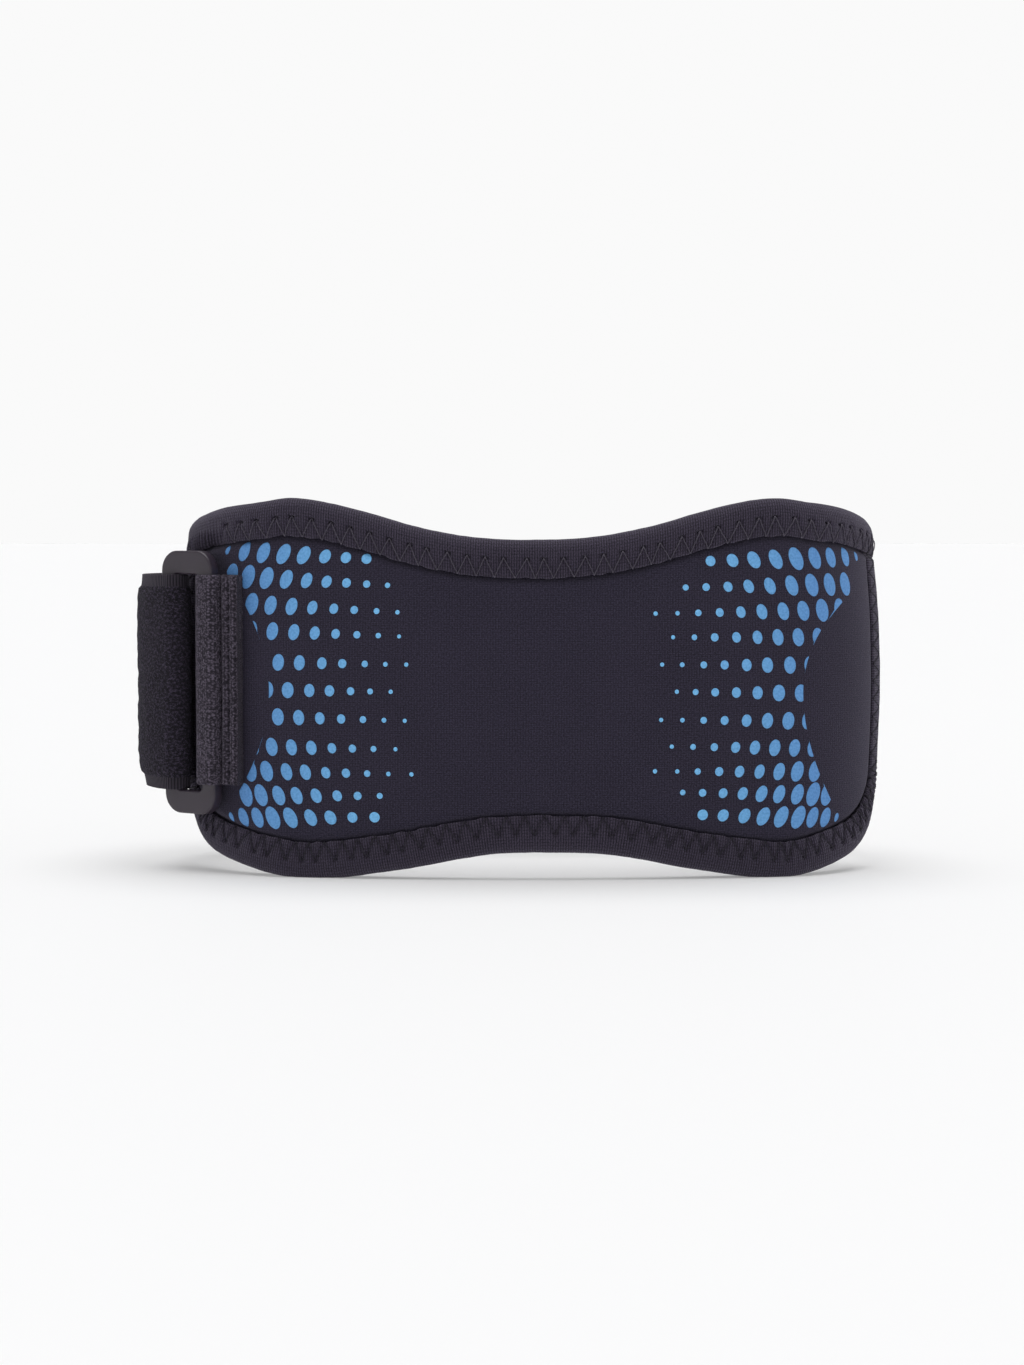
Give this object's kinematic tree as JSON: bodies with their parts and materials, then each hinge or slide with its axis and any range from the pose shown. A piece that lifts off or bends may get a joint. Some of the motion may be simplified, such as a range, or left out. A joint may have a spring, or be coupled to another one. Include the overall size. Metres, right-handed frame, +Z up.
{
  "type": "patella strap",
  "caption": "Padded hourglass knee strap with bound edges, closed in a loop by a plush strap that folds back through a plastic ring.",
  "frame": {"origin": "middle of the box's underside, on the surface that the strap stands on", "axes": "+X to the viewer's right along the panel, +Y from the panel's front to the back of the loop, +Z up"},
  "size_m": [0.1762, 0.0742, 0.087],
  "materials": {
    "jersey": "smooth black jersey over soft foam",
    "knit_tape": "black ribbed knit tape",
    "ring_plastic": "dark grey moulded plastic, satin",
    "webbing": "black looped webbing",
    "plush": "black velour loop pile",
    "hooks": "black moulded hooks"
  },
  "bodies": {
    "root": {"front_panel": "jersey", "top_binding": "knit_tape", "bottom_binding": "knit_tape", "ring": "ring_plastic", "ring_tab": "webbing", "strap": "plush", "hook_patch": "hooks"}
  },
  "joints": []
}
